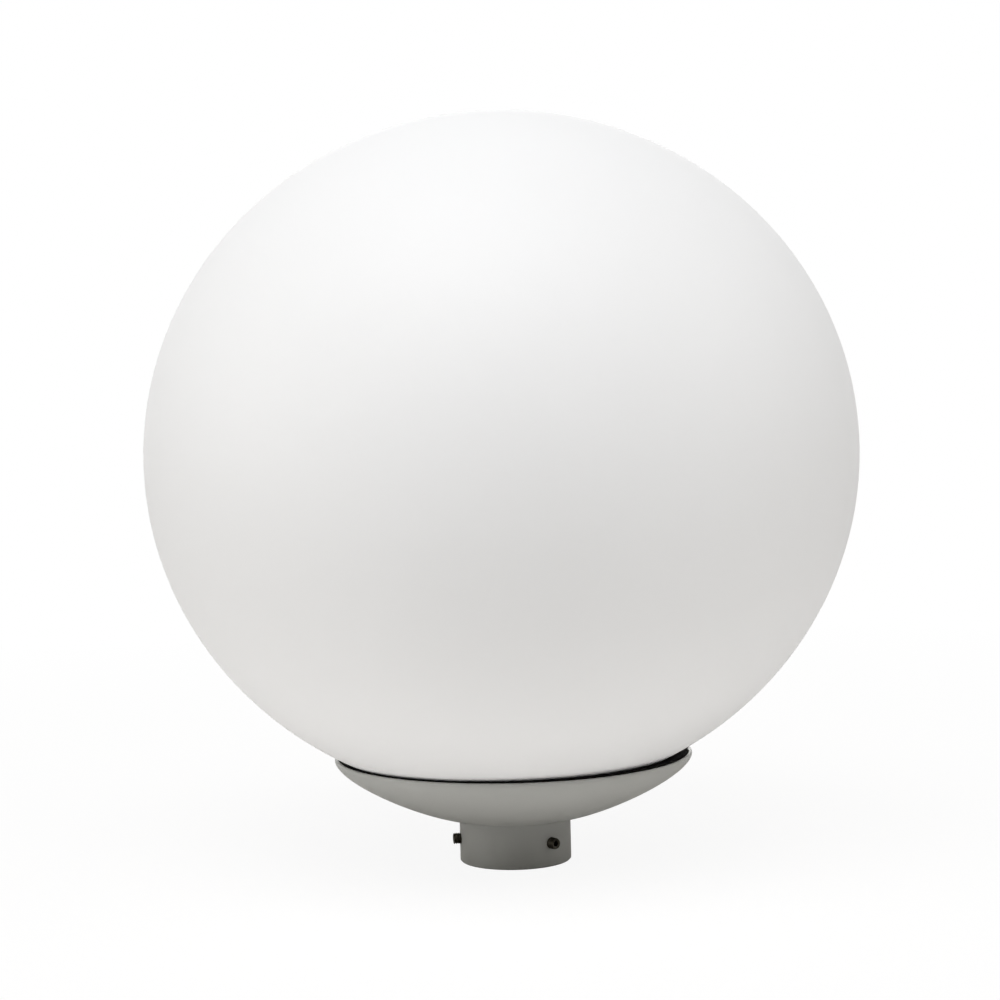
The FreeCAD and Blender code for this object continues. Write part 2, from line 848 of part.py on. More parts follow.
def terminal_fixing_screws():
    """Two screws that hold the block to the gear plate."""
    length = block_height + plate_thickness - chamfer
    screw = headed_screw(m3_radius, length, m3_head_radius, m3_head_height, m3_key)
    places = [place + Vector(0, 0, block_top()) for place in block_screw_places()]
    return Part.makeCompound([stood(screw, place, up) for place in places])


def earth_place():
    """The gear plate's fourth corner."""
    return polar(plate_screw_circle, plate_screw_angle + 270)


def washer_foot():
    """The underside of the earth screw's washer, which lies on the wire."""
    return plate_top + 2 * lead_radius + screw_gap


def earth_washer():
    """The clamp washer that pins the earth wire beside its screw."""
    place = earth_place()
    washer = rod(washer_radius, washer_foot(), washer_foot() + washer_thickness, place)
    return washer.cut(rod(m4_radius + screw_gap, 0, plate_top + overrun, place))


def earth_screw():
    """The earth screw at the plate's fourth corner, on its washer."""
    return m4_screw(earth_place(), washer_foot() + washer_thickness)


def lead(points):
    """A wire: straight runs joined by tangent arcs as large as the runs allow."""
    edges = []
    start = points[0]
    for before, corner, after in zip(points, points[1:], points[2:]):
        inward = before - corner
        outward = after - corner
        reach = turn_share * min(inward.Length, outward.Length)
        inward.normalize()
        outward.normalize()
        first = corner + inward * reach
        last = corner + outward * reach
        half_angle = inward.getAngle(outward) / 2
        radius = reach * math.tan(half_angle)
        print("lead radius", round(radius, 2))
        axis = (inward + outward).normalize()
        middle = corner + axis * (reach / math.cos(half_angle) - radius)
        edges.append(line(start, first))
        edges.append(Part.Arc(first, middle, last).toShape())
        start = last
    edges.append(line(start, points[-1]))
    path = Part.Wire(edges)
    section = Part.Wire(Part.Circle(points[0], points[1] - points[0], lead_radius).toShape())
    wire = path.makePipeShell([section], True, True)
    plain_volume = math.pi * lead_radius ** 2 * path.Length
    print("lead length", round(path.Length, 1))
    print("lead volume over plain volume", round(wire.Volume / plain_volume, 4))
    return wire


def lamp_lead(pole, side):
    """A wire from one pole of the block up to the lampholder's base."""
    start = block_right - lead_sink
    out = block_right + lead_reach
    entry = bracket_top + lead_entry_rise
    inside = holder_base_radius - lead_sink - lead_radius
    return lead([
        Vector(start, pole, wire_height),
        Vector(out, pole, wire_height),
        Vector(out, side * lead_entry_spread, entry),
        Vector(inside, side * lead_entry_spread, entry),
    ])


def earth_lead():
    """The short wire from the block's front pole, round and down beside the earth screw."""
    screw = earth_place()
    pole = pole_places()[0]
    low = plate_top + lead_radius
    side = (m4_radius + lead_radius + screw_gap) * math.sqrt(2)
    past = washer_radius
    drop = wire_height - low
    out = Vector(lead_reach * earth_reach_share, -lead_reach * earth_turn_share, -drop * earth_drop_share)
    return lead([
        Vector(block_right - lead_sink, pole, wire_height),
        Vector(block_right + lead_reach / 2, pole, wire_height),
        Vector(block_right, pole, wire_height) + out,
        Vector(screw.x + side + past, screw.y + past, low),
        Vector(screw.x + side - past, screw.y - past, low),
    ])


def save(name, shape):
    """Writes one sub-part, and says how many solids it has and how big it is."""
    print(name, len(shape.Solids), "valid" if shape.isValid() else "INVALID", round(shape.Volume))
    shape.exportStep("parts/" + name + ".step")


def build():
    """Writes every sub-part of the light."""
    os.makedirs("parts", exist_ok=True)
    save("base_casting", base_casting())
    save("globe_gasket", globe_gasket())
    save("globe_lower", globe_lower())
    save("globe_upper", globe_upper())
    save("throat_seal", throat_seal())
    save("globe_gallery", globe_gallery())
    save("gallery_screws", gallery_screws())
    for number, bearing in enumerate(ring(globe_screw_angle), 1):
        save("globe_screw_%d" % number, globe_screw(bearing))
    for number, bearing in enumerate(ring(clamp_screw_angle), 1):
        save("clamp_screw_%d" % number, clamp_screw(bearing))
    save("gear_plate", gear_plate())
    save("gear_plate_screws", gear_plate_screws())
    save("cable_gland_body", cable_gland_body())
    save("cable_gland_seal", cable_gland_seal())
    save("cable_gland_nut", cable_gland_nut())
    save("lampholder_bracket", lampholder_bracket())
    save("bracket_screws", bracket_screws())
    save("lampholder_body", lampholder_body())
    save("lampholder_shell", lampholder_shell())
    save("lampholder_contact", lampholder_contact())
    save("lampholder_screws", lampholder_screws())
    save("lamp_bulb", lamp_bulb())
    save("lamp_cap", lamp_cap())
    save("lamp_insulator", lamp_insulator())
    save("lamp_contact", lamp_contact())
    save("terminal_block", terminal_block())
    save("terminal_sleeves", terminal_sleeves())
    save("terminal_screws", terminal_screws())
    save("terminal_fixing_screws", terminal_fixing_screws())
    save("earth_washer", earth_washer())
    save("earth_screw", earth_screw())
    save("lead_live", lamp_lead(pole_places()[2], 1))
    save("lead_neutral", lamp_lead(pole_places()[1], -1))
    save("lead_earth", earth_lead())


build()
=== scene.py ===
import math

import bmesh
import bpy
from mathutils import Matrix, Vector
from mathutils.geometry import interpolate_bezier


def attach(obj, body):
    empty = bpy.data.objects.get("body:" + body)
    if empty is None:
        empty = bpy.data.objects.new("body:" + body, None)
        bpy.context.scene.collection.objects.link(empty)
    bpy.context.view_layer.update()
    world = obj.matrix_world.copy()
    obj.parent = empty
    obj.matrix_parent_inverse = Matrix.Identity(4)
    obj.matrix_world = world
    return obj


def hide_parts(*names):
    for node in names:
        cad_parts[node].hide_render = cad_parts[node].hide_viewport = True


# A globe street light for the top of a pole. Sizes are in millimetres and turned into metres
# by mm; the origin is the centre of the neck's open foot and the light stands up along +Z.
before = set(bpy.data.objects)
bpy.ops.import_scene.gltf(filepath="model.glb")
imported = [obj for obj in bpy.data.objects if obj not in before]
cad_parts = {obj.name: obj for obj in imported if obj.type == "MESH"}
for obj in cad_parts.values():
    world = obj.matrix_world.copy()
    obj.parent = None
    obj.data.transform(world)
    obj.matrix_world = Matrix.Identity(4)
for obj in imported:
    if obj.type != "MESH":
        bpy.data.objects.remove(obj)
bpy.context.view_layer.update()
mm = 0.001

# Camera. It stands a metre and a half in front of the light, level with the lower half of the
# globe, and looks slightly down. The photograph leans a little, so the camera is rolled.
camera_place = Vector((-0.00515, -1.530, 0.3285))
camera_fall_angle = 2.69
camera_roll_angle = -1.4
camera_sensor = 36
camera_lens = 77.72
camera = bpy.data.objects.new("camera", bpy.data.cameras.new("camera"))
bpy.context.scene.collection.objects.link(camera)
camera.data.sensor_width = camera_sensor
camera.data.lens = camera_lens
look = Matrix.Rotation(math.radians(90 - camera_fall_angle), 4, "X")
lean = Matrix.Rotation(math.radians(camera_roll_angle), 4, "Z")
camera.matrix_world = Matrix.Translation(camera_place) @ look @ lean
bpy.context.scene.camera = camera
bpy.context.scene.view_settings.view_transform = "Standard"

# Studio lamps. Three softboxes hang high up, the largest in front, two smaller ones stand low
# at the sides, and a weak one behind. All are five metres from the light and face it.
studio_middle = Vector((0, 0, 0.3))
softbox_distance = 5.0
front_white = (0.98, 0.988, 1.0)
high_white = (0.985, 0.99, 1.0)
low_white = (1.0, 0.985, 0.955)


def softbox(name, bearing_angle, climb_angle, side, watts, colour):
    """A square lamp that faces the light, from a bearing off the camera's side and a climb."""
    bearing_turn, climb = math.radians(bearing_angle), math.radians(climb_angle)
    sideways = math.cos(climb) * math.sin(bearing_turn)
    forwards = math.cos(climb) * math.cos(bearing_turn)
    away = Vector((sideways, -forwards, math.sin(climb)))
    lamp = bpy.data.objects.new(name, bpy.data.lights.new(name, "AREA"))
    bpy.context.scene.collection.objects.link(lamp)
    lamp.data.shape = "SQUARE"
    lamp.data.size = side
    lamp.data.energy = watts
    lamp.data.color = colour
    lamp.visible_camera = False
    facing = away.to_track_quat("Z", "Y").to_matrix().to_4x4()
    lamp.matrix_world = Matrix.Translation(studio_middle + away * softbox_distance) @ facing


softbox("front_softbox", bearing_angle=-4, climb_angle=60, side=3.2, watts=132.0, colour=front_white)
softbox("high_left_softbox", bearing_angle=-50, climb_angle=60, side=3.0, watts=62.5, colour=high_white)
softbox("high_right_softbox", bearing_angle=50, climb_angle=60, side=3.0, watts=41.5, colour=high_white)
softbox("low_left_softbox", bearing_angle=-80, climb_angle=15, side=2.4, watts=57.0, colour=low_white)
softbox("low_right_softbox", bearing_angle=82, climb_angle=26, side=3.0, watts=46.0, colour=low_white)
softbox("back_softbox", bearing_angle=180, climb_angle=8, side=2.0, watts=40.0, colour=low_white)

# Room. It throws only a dim warm light. The camera, and rays that mirror or pass through
# something, see it plain white instead, as the photograph's cut-out background is.
room_colour = (1, 0.95, 0.88, 1)
room_strength = 0.03
plain_white = (1, 1, 1, 1)
room = bpy.data.worlds.new("room")
bpy.context.scene.world = room
room.use_nodes = True
room_nodes, room_links = room.node_tree.nodes, room.node_tree.links
room_nodes.clear()
room_light = room_nodes.new("ShaderNodeBackground")
room_light.inputs["Color"].default_value = room_colour
room_light.inputs["Strength"].default_value = room_strength
room_white = room_nodes.new("ShaderNodeBackground")
room_white.inputs["Color"].default_value = plain_white
room_white.inputs["Strength"].default_value = 1.0
room_ray = room_nodes.new("ShaderNodeLightPath")
seen_or_mirrored = room_nodes.new("ShaderNodeMath")
seen_or_mirrored.operation = "MAXIMUM"
seen_through = room_nodes.new("ShaderNodeMath")
seen_through.operation = "MAXIMUM"
room_mix = room_nodes.new("ShaderNodeMixShader")
room_out = room_nodes.new("ShaderNodeOutputWorld")
room_links.new(room_ray.outputs["Is Camera Ray"], seen_or_mirrored.inputs[0])
room_links.new(room_ray.outputs["Is Glossy Ray"], seen_or_mirrored.inputs[1])
room_links.new(seen_or_mirrored.outputs[0], seen_through.inputs[0])
room_links.new(room_ray.outputs["Is Transmission Ray"], seen_through.inputs[1])
room_links.new(seen_through.outputs[0], room_mix.inputs["Fac"])
room_links.new(room_light.outputs[0], room_mix.inputs[1])
room_links.new(room_white.outputs[0], room_mix.inputs[2])
room_links.new(room_mix.outputs[0], room_out.inputs["Surface"])

# Floor. A round of matt white paper that throws the lamps' light up. For the camera it fades
# to the room's white away from the light but keeps a soft shadow, and from below it is clear.
floor_radius = 4.0
floor_sides = 96
floor_colour = (0.98, 0.965, 0.945, 1)
fade_start = 0.15
fade_end = 1.6
fade_near = 0.91
fade_far = 1.0
floor_shape = bmesh.new()
bmesh.ops.create_circle(floor_shape, cap_ends=True, segments=floor_sides, radius=floor_radius)
floor_mesh = bpy.data.meshes.new("floor")
floor_shape.to_mesh(floor_mesh)
floor_shape.free()
floor = bpy.data.objects.new("floor", floor_mesh)
bpy.context.scene.collection.objects.link(floor)
floor_paint = bpy.data.materials.new("floor_paint")
floor_paint.use_nodes = True
nodes, links = floor_paint.node_tree.nodes, floor_paint.node_tree.links
nodes.clear()
floor_matt = nodes.new("ShaderNodeBsdfDiffuse")
floor_matt.inputs["Color"].default_value = floor_colour
floor_white = nodes.new("ShaderNodeEmission")
floor_white.inputs["Color"].default_value = plain_white
floor_white.inputs["Strength"].default_value = 1.0
floor_seen = nodes.new("ShaderNodeMixShader")
floor_place = nodes.new("ShaderNodeTexCoord")
floor_reach = nodes.new("ShaderNodeVectorMath")
floor_reach.operation = "LENGTH"
floor_fade = nodes.new("ShaderNodeMapRange")
floor_fade.inputs["From Min"].default_value = fade_start
floor_fade.inputs["From Max"].default_value = fade_end
floor_fade.inputs["To Min"].default_value = fade_near
floor_fade.inputs["To Max"].default_value = fade_far
floor_ray = nodes.new("ShaderNodeLightPath")
floor_side = nodes.new("ShaderNodeNewGeometry")
seen_from_below = nodes.new("ShaderNodeMath")
seen_from_below.operation = "MULTIPLY"
floor_clear = nodes.new("ShaderNodeBsdfTransparent")
floor_below = nodes.new("ShaderNodeMixShader")
floor_mix = nodes.new("ShaderNodeMixShader")
floor_out = nodes.new("ShaderNodeOutputMaterial")
links.new(floor_place.outputs["Object"], floor_reach.inputs[0])
links.new(floor_reach.outputs["Value"], floor_fade.inputs["Value"])
links.new(floor_fade.outputs["Result"], floor_seen.inputs["Fac"])
links.new(floor_matt.outputs[0], floor_seen.inputs[1])
links.new(floor_white.outputs[0], floor_seen.inputs[2])
links.new(floor_ray.outputs["Is Camera Ray"], floor_mix.inputs["Fac"])
links.new(floor_matt.outputs[0], floor_mix.inputs[1])
links.new(floor_seen.outputs[0], floor_mix.inputs[2])
links.new(floor_ray.outputs["Is Camera Ray"], seen_from_below.inputs[0])
links.new(floor_side.outputs["Backfacing"], seen_from_below.inputs[1])
links.new(seen_from_below.outputs[0], floor_below.inputs["Fac"])
links.new(floor_mix.outputs[0], floor_below.inputs[1])
links.new(floor_clear.outputs[0], floor_below.inputs[2])
links.new(floor_below.outputs[0], floor_out.inputs["Surface"])
floor.data.materials.append(floor_paint)

# Casting. Neck and dish are one aluminium casting under a coat of light grey satin paint, with
# the faint orange peel of sprayed paint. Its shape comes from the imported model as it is.


def finish(
    name, colour, drift, grain, roughness, metal=0.0, shine=0.5,
    relief=0.0, relief_grain=0.001, along=(1, 1, 1),
):
    """A finish whose colour drifts between two tones over a grain, with gloss and relief to match."""
    material = bpy.data.materials.new(name)
    material.use_nodes = True
    nodes, links = material.node_tree.nodes, material.node_tree.links
    shader = nodes["Principled BSDF"]
    shader.inputs["Metallic"].default_value = metal
    shader.inputs["Specular IOR Level"].default_value = shine
    place = nodes.new("ShaderNodeTexCoord")
    stretch = nodes.new("ShaderNodeMapping")
    stretch.inputs["Scale"].default_value = along
    links.new(place.outputs["Object"], stretch.inputs["Vector"])
    cloud = nodes.new("ShaderNodeTexNoise")
    cloud.inputs["Scale"].default_value = 1 / grain
    cloud.inputs["Detail"].default_value = 5.0
    links.new(stretch.outputs["Vector"], cloud.inputs["Vector"])
    tone = nodes.new("ShaderNodeMix")
    tone.name = "tone"
    tone.data_type = "RGBA"
    tone.inputs[6].default_value = (*colour, 1)
    tone.inputs[7].default_value = (*drift, 1)
    links.new(cloud.outputs["Fac"], tone.inputs[0])
    links.new(tone.outputs[2], shader.inputs["Base Color"])
    gloss = nodes.new("ShaderNodeMapRange")
    gloss.inputs["From Min"].default_value = 0.3
    gloss.inputs["From Max"].default_value = 0.7
    gloss.inputs["To Min"].default_value = roughness[0]
    gloss.inputs["To Max"].default_value = roughness[1]
    links.new(cloud.outputs["Fac"], gloss.inputs["Value"])
    links.new(gloss.outputs["Result"], shader.inputs["Roughness"])
    if relief:
        skin = nodes.new("ShaderNodeTexNoise")
        skin.inputs["Scale"].default_value = 1 / relief_grain
        skin.inputs["Detail"].default_value = 2.0
        links.new(stretch.outputs["Vector"], skin.inputs["Vector"])
        bump = nodes.new("ShaderNodeBump")
        bump.inputs["Distance"].default_value = relief
        bump.inputs["Strength"].default_value = 1.0
        links.new(skin.outputs["Fac"], bump.inputs["Height"])
        links.new(bump.outputs["Normal"], shader.inputs["Normal"])
    return material


def dressed(node, material):
    """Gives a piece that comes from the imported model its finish."""
    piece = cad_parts[node]
    if not piece.material_slots:
        piece.data.materials.append(material)
    for slot in piece.material_slots:
        slot.material = material


grey_paint = finish(
    "grey_paint", colour=(0.435, 0.438, 0.418), drift=(0.462, 0.465, 0.446), grain=0.018,
    roughness=(0.36, 0.44), shine=0.25, relief=0.00003, relief_grain=0.0016,
)
dressed("base_casting", grey_paint)

# Gasket. An extruded black rubber ring lies in the corner between the dish's lip and the globe,
# and the globe's weight presses its top to the ball. It shows as the thin black line.
merge_reach = 0.00001


def turned_shape(outline, steps, closed=True):
    """A shape turned about the pole's axis from the points of its section."""
    shape = bmesh.new()
    corners = [shape.verts.new((radius * mm, 0, height * mm)) for radius, height in outline]
    followers = corners[1:] + corners[:1] if closed else corners[1:]
    for start, end in zip(corners, followers):
        shape.edges.new((start, end))
    bmesh.ops.spin(
        shape, geom=shape.verts[:] + shape.edges[:], cent=(0, 0, 0), axis=(0, 0, 1),
        angle=math.tau, steps=steps, use_merge=True,
    )
    bmesh.ops.remove_doubles(shape, verts=shape.verts, dist=merge_reach)
    bmesh.ops.recalc_face_normals(shape, faces=shape.faces)
    return shape


def fitted(name, shape, material, body, replaced, crease_angle=35):
    """Makes a shape a piece of the light: smooth but for its creases, on its body, for its nodes."""
    mesh = bpy.data.meshes.new(name)
    shape.to_mesh(mesh)
    shape.free()
    mesh.polygons.foreach_set("use_smooth", [True] * len(mesh.polygons))
    mesh.set_sharp_from_angle(angle=math.radians(crease_angle))
    mesh.materials.append(material)
    piece = bpy.data.objects.new(name, mesh)
    bpy.context.scene.collection.objects.link(piece)
    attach(piece, body)
    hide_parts(*replaced)


globe_radius = 250.0
globe_half_height = 240.0
globe_height = 288.86
globe_place = Vector((-3.344, -3.011, 0.0))
large_round_steps = 256


def globe_underside(place):
    """How high the globe's underside is over a place in metres."""
    across = math.hypot(place.x / mm - globe_place.x, place.y / mm - globe_place.y) / globe_radius
    return (globe_height - globe_half_height * math.sqrt(1 - across ** 2)) * mm


gasket_inside = 113.2
gasket_outside = 123.9
gasket_top = 76.97
gasket_round = 0.8
gasket_top_steps = 14
round_inset = 0.3 * gasket_round
soft_gap = 0.3
bowl_steps = 90
bowl_poles = [
    Vector((41.6, 35.5)), Vector((62.7, 35.5)), Vector((122.14, 63.62)), Vector((gasket_outside, 74.47)),
]
bed = [(p.x, p.y) for p in interpolate_bezier(*bowl_poles, bowl_steps) if p.x > gasket_inside]
section = [(gasket_inside, bed[0][1])] + bed
section.append((gasket_outside, gasket_top - gasket_round))
section.append((gasket_outside - round_inset, gasket_top - round_inset))
top_outside = gasket_outside - gasket_round
for step in range(gasket_top_steps + 1):
    across = top_outside - (top_outside - gasket_inside) * step / gasket_top_steps
    section.append((across, gasket_top))
gasket_shape = turned_shape(section, large_round_steps)
for corner in gasket_shape.verts:
    corner.co.z = min(corner.co.z, globe_underside(corner.co) - soft_gap * mm)
black_rubber = finish(
    "black_rubber", colour=(0.006, 0.006, 0.006), drift=(0.010, 0.0097, 0.0094), grain=0.006,
    roughness=(0.85, 0.95), shine=0.03, relief=0.00004, relief_grain=0.0006,
)
fitted("gasket_ring", gasket_shape, black_rubber, "base", ["globe_gasket"])

# Globe. It is moulded from opal white acrylic in two shells, which are welded at its widest
# place and polished there. A short throat with a bead hangs under it. The skin is satin.
globe_wall = 3.0
throat_radius = 59.5
throat_wall = 3.0
throat_inside = throat_radius - throat_wall
bead_radius = 62.5
bead_foot = 47.35
bead_height = 2.5
bead_round = bead_height / 2
bead_steps = 8
outside_steps = 96
inside_steps = 64


def ball_points(inset, edge_radius, steps):
    """Points of the ball's section from its throat up to its crown, set in by its wall."""
    radius, half_height = globe_radius - inset, globe_half_height - inset
    start = math.acos(edge_radius / radius)
    angles = [-start + (start + math.pi / 2) * step / steps for step in range(steps + 1)]
    return [(radius * math.cos(angle), globe_height + half_height * math.sin(angle)) for angle in angles]


outside = ball_points(0, throat_radius, outside_steps)
inside = ball_points(globe_wall, throat_inside, inside_steps)
bead = []
for step in range(bead_steps + 1):
    angle = math.pi / 2 - math.pi * step / bead_steps
    reach = bead_radius - bead_round + bead_round * math.cos(angle)
    bead.append((reach, bead_foot + bead_round + bead_round * math.sin(angle)))
section = [(0, outside[-1][1])] + outside[-2::-1] + [(throat_radius, bead_foot + bead_height)]
section += bead + [(throat_inside, bead_foot)] + inside[:-1] + [(0, inside[-1][1])]
globe_shape = turned_shape(section, large_round_steps, closed=False)
bmesh.ops.translate(globe_shape, verts=globe_shape.verts, vec=globe_place * mm)
opal = finish(
    "opal", colour=(0.895, 0.895, 0.895), drift=(0.905, 0.905, 0.905), grain=0.07,
    roughness=(0.50, 0.56), shine=0.25, relief=0.00001, relief_grain=0.004,
)
fitted("globe_shell", globe_shape, opal, "globe_unit", ["globe_lower", "globe_upper"])

# Clamp screws. Three blackened M8 socket grub screws go through the neck's wall and hold the
# pole. Each stands a few millimetres proud, with its thread and its hexagon socket showing.
screw_sides = 36
rows_a_turn = 6
hexagon_turn = math.radians(60)
same_radius = 0.01
on_axis = 0.001


def screw_outline(radius, length, row, chamfer, key_corner, key_depth, head_radius, head_height):
    """A screw's section from its point to the cone under its socket, with rows for its thread."""
    thread_foot = chamfer - length
    rows = int((length - 2 * chamfer) / row)
    outline = [(0, -length), (radius - chamfer, -length), (radius, thread_foot)]
    outline += [(radius, thread_foot + row * step) for step in range(1, rows + 1)]
    if head_height:
        edge = 0.12 * head_height
        outline += [(radius, 0), (head_radius - edge / 2, 0), (head_radius, edge / 2)]
        outline += [(head_radius, head_height - edge), (head_radius - edge, head_height)]
    else:
        outline += [(radius, -chamfer), (radius - chamfer, 0)]
    lead_in = 0.12 * key_corner
    socket_floor = head_height - key_depth
    outline += [(key_corner + lead_in, head_height), (key_corner, head_height - lead_in)]
    drill_cone = 0.4 * key_corner
    return outline + [(key_corner, socket_floor), (0, socket_floor - drill_cone)]


def socket_screw(radius, length, pitch, key, key_depth, head_radius=0.0, head_height=0.0):
    """A screw that points down from the origin, with a cut thread and a hexagon socket on top."""
    row = pitch / rows_a_turn
    chamfer = min(2 * row, 0.2 * radius)
    key_corner = key / math.sqrt(3)
    outline = screw_outline(
        radius, length, row, chamfer, key_corner, key_depth, head_radius, head_height,
    )
    shape = turned_shape(outline, screw_sides, closed=False)
    thread_depth = 0.5 * pitch
    for corner in shape.verts:
        reach = math.hypot(corner.co.x, corner.co.y) / mm
        height = corner.co.z / mm
        if reach < on_axis:
            continue
        turn = math.atan2(corner.co.y, corner.co.x)
        if abs(reach - radius) < same_radius and chamfer - length < height < -chamfer:
            along = (height / pitch - turn / math.tau) % 1.0
            pull = 1 - thread_depth * (1 - abs(2 * along - 1)) / radius
        elif abs(reach - key_corner) < same_radius:
            off_flat = (turn + hexagon_turn / 2) % hexagon_turn - hexagon_turn / 2
            pull = math.cos(hexagon_turn / 2) / math.cos(off_flat)
        else:
            continue
        corner.co.x *= pull
        corner.co.y *= pull
    return shape


def driven(shapes):
    """One shape of several screws, each moved to its place and turned to point away from it."""
    whole = bmesh.new()
    for shape, place, direction in shapes:
        turn = Vector((0, 0, 1)).rotation_difference(Vector(direction)).to_matrix().to_4x4()
        loose = bpy.data.meshes.new("screw")
        shape.transform(Matrix.Translation(Vector(place) * mm) @ turn)
        shape.to_mesh(loose)
        shape.free()
        whole.from_mesh(loose)
        bpy.data.meshes.remove(loose)
    return whole


def bearing(radius, degrees, height):
    """A place in millimetres at a bearing about the pole's axis."""
    angle = math.radians(degrees)
    return (radius * math.cos(angle), radius * math.sin(angle), height)


clamp_screw_angles = [-50.7, 69.3, 189.3]
clamp_screw_end = 44.6
clamp_screw_height = 16.8
blackened_steel = finish(
    "blackened_steel", colour=(0.014, 0.012, 0.0095), drift=(0.06, 0.053, 0.037), grain=0.003,
    roughness=(0.28, 0.42), metal=0.7, shine=0.3, relief=0.00002, relief_grain=0.0004,
)
for number, degrees in enumerate(clamp_screw_angles, 1):
    name = "clamp_screw_%d" % number
    screw = socket_screw(radius=4.0, length=12.9, pitch=1.25, key=4.0, key_depth=4.5)
    place = bearing(clamp_screw_end, degrees, clamp_screw_height)
    shape = driven([(screw, place, bearing(1, degrees, 0))])
    fitted("threaded_" + name, shape, blackened_steel, name, [name])

# Gallery. A cast aluminium ring takes the globe's throat. A black rubber washer lies under the
# bead, and three small grub screws in the ring's wall stop the bead from lifting out.
cast_aluminium = finish(
    "cast_aluminium", colour=(0.55, 0.55, 0.545), drift=(0.42, 0.42, 0.415), grain=0.009,
    roughness=(0.42, 0.62), metal=0.85, relief=0.00012, relief_grain=0.0013,
)
dressed("globe_gallery", cast_aluminium)

washer_edge = 0.4
washer_low, washer_high = 45.85, 47.35
washer_steps = 128
section = [
    (throat_inside + washer_edge, washer_low), (bead_radius - washer_edge, washer_low),
    (bead_radius, washer_low + washer_edge), (bead_radius, washer_high - washer_edge),
    (bead_radius - washer_edge, washer_high), (throat_inside + washer_edge, washer_high),
    (throat_inside, washer_high - washer_edge), (throat_inside, washer_low + washer_edge),
]
washer_shape = turned_shape(section, washer_steps)
bmesh.ops.translate(washer_shape, verts=washer_shape.verts, vec=globe_place * mm)
fitted("throat_washer", washer_shape, black_rubber, "globe_unit", ["throat_seal"])

gallery_screw_height = 52.25
gallery_screw_length = 15.0
gallery_screws = []
for degrees in clamp_screw_angles:
    outwards = Vector(bearing(1, degrees, 0))
    along, across = globe_place.dot(outwards), globe_place.cross(outwards).z
    throat = along + math.sqrt(throat_radius ** 2 - across ** 2)
    end = throat + soft_gap + gallery_screw_length
    screw = socket_screw(radius=2.0, length=gallery_screw_length, pitch=0.7, key=2.0, key_depth=2.0)
    gallery_screws.append((screw, bearing(end, degrees, gallery_screw_height), outwards))
gallery_screw_shape = driven(gallery_screws)
fitted(
    "threaded_gallery_screws", gallery_screw_shape, blackened_steel, "globe_unit",
    ["gallery_screws"],
)

# Globe screws. Three zinc-plated M5 cap screws come up through counterbores in the dish and
# draw the gallery down on its pads.
zinc_steel = finish(
    "zinc_steel", colour=(0.60, 0.61, 0.60), drift=(0.50, 0.52, 0.53), grain=0.002,
    roughness=(0.22, 0.36), metal=1.0, relief=0.00001, relief_grain=0.0003,
)
globe_screw_angles = [9.3, 129.3, 249.3]
globe_screw_circle = 46.0
globe_screw_seat = 38.35
for number, degrees in enumerate(globe_screw_angles, 1):
    name = "globe_screw_%d" % number
    screw = socket_screw(
        radius=2.5, length=14.0, pitch=0.8, key=4.0, key_depth=2.0, head_radius=4.5, head_height=4.0,
    )
    shape = driven([(screw, bearing(globe_screw_circle, degrees, globe_screw_seat), (0, 0, -1))])
    fitted("threaded_" + name, shape, zinc_steel, name, [name])

# Gear plate. A round zinc-coated steel sheet closes the top of the pole socket and carries the
# electrical parts. Three M4 cap screws hold it, and the earth screw takes the fourth corner.
zinc_sheet = finish(
    "zinc_sheet", colour=(0.56, 0.57, 0.58), drift=(0.44, 0.46, 0.48), grain=0.012,
    roughness=(0.3, 0.48), metal=0.9, relief=0.00001, relief_grain=0.0004, along=(1, 6, 1),
)
dressed("gear_plate", zinc_sheet)
plate_top = 59.5
plate_screw_circle = 34.0
plate_screw_angles = [45, 135, 225]
upwards = (0, 0, 1)


def m4_screw():
    """An M4 cap screw."""
    return socket_screw(
        radius=2.0, length=7.0, pitch=0.7, key=2.5, key_depth=1.3, head_radius=3.6, head_height=2.6,
    )


plate_screws = []
for degrees in plate_screw_angles:
    plate_screws.append((m4_screw(), bearing(plate_screw_circle, degrees, plate_top), upwards))
fitted(
    "threaded_plate_screws", driven(plate_screws), zinc_steel, "base", ["gear_plate_screws"],
)

# Cable gland. A grey nylon gland stands in the middle of the plate and lets the supply cable
# in from the pole. Its rubber sleeve has rounded lips and three shallow grooves inside.
grey_nylon = finish(
    "grey_nylon", colour=(0.13, 0.135, 0.14), drift=(0.16, 0.165, 0.17), grain=0.008,
    roughness=(0.42, 0.52), relief=0.00002, relief_grain=0.0005,
)
dressed("cable_gland_body", grey_nylon)
dressed("cable_gland_nut", grey_nylon)
sleeve_low, sleeve_high = 59.8, 70.5
sleeve_outside, sleeve_inside = 7.9, 5.0
sleeve_steps = 64
lip = 0.7
groove_depth = 0.5
groove_count = 3
groove_steps = 24
section = [(sleeve_outside - lip, sleeve_low), (sleeve_outside, sleeve_low + lip)]
section += [(sleeve_outside, sleeve_high - lip), (sleeve_outside - lip, sleeve_high)]
section += [(sleeve_inside + lip, sleeve_high), (sleeve_inside, sleeve_high - lip)]
for step in range(1, groove_steps):
    down = step / groove_steps
    height = sleeve_high - lip - (sleeve_high - sleeve_low - 2 * lip) * down
    groove = groove_depth * (1 - math.cos(math.tau * groove_count * down)) / 2
    section.append((sleeve_inside + groove, height))
section += [(sleeve_inside, sleeve_low + lip), (sleeve_inside + lip, sleeve_low)]
sleeve_shape = turned_shape(section, sleeve_steps)
fitted("gland_sleeve", sleeve_shape, black_rubber, "base", ["cable_gland_seal"])

